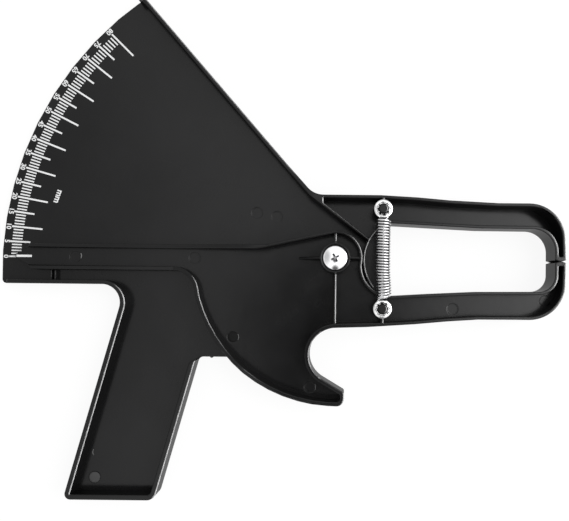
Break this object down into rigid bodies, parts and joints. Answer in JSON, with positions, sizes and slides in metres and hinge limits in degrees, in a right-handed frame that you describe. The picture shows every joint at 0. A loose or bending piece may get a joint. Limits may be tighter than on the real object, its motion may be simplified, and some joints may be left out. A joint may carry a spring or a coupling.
{
  "type": "skinfold caliper",
  "caption": "Moulded plastic skinfold caliper with a pistol grip, a fan-shaped scale under a long pointer, hooked jaws, a finger trigger and a closing spring.",
  "frame": {"origin": "on the pivot axis, at the rear face of the barrel nut, which is flush with the body's flat back", "axes": "+X from the pivot towards the jaw tips, +Y from the grip towards the top of the scale fan, +Z from the flat back towards the front"},
  "size_m": [0.2794, 0.2484, 0.0234],
  "materials": {
    "moulding": "satin",
    "nut_steel": "satin",
    "pale_plastic": "satin",
    "bright_metal": "gloss"
  },
  "bodies": {
    "frame": {"body": "moulding", "pivot_barrel_nut": "nut_steel", "pivot_screw": "bright_metal", "thrust_washer": "pale_plastic", "head_washer": "nut_steel"},
    "lever": {"lever": "moulding", "lower_star_clip": "bright_metal"},
    "spring_anchor": {"upper_star_clip": "bright_metal"},
    "spring": {"tension_spring": "bright_metal"}
  },
  "joints": [
    {"name": "jaw_opening", "type": "hinge", "parent": "frame", "child": "lever", "pos_m": [0, 0, 0.009], "axis": [0, 0, -1], "range_deg": [0, 50], "stiffness_Nm_per_rad": 0.8, "springref_deg": -42.97},
    {"name": "spring_swing", "type": "hinge", "parent": "frame", "child": "spring_anchor", "pos_m": [0.023, 0.0236, 0.017], "axis": [0, 0, -1], "range_deg": [0, 25.6]},
    {"name": "spring_stretch", "type": "slide", "parent": "spring_anchor", "child": "spring", "axis": [0, -1, 0], "range_m": [0, 0.0151], "deforming": ["tension_spring"]}
  ],
  "couplings": [
    {"joint": "spring_swing", "follows": "jaw_opening", "ratio": 0.5077},
    {"joint": "spring_stretch", "follows": "jaw_opening", "m_per_rad": 0.0171}
  ]
}
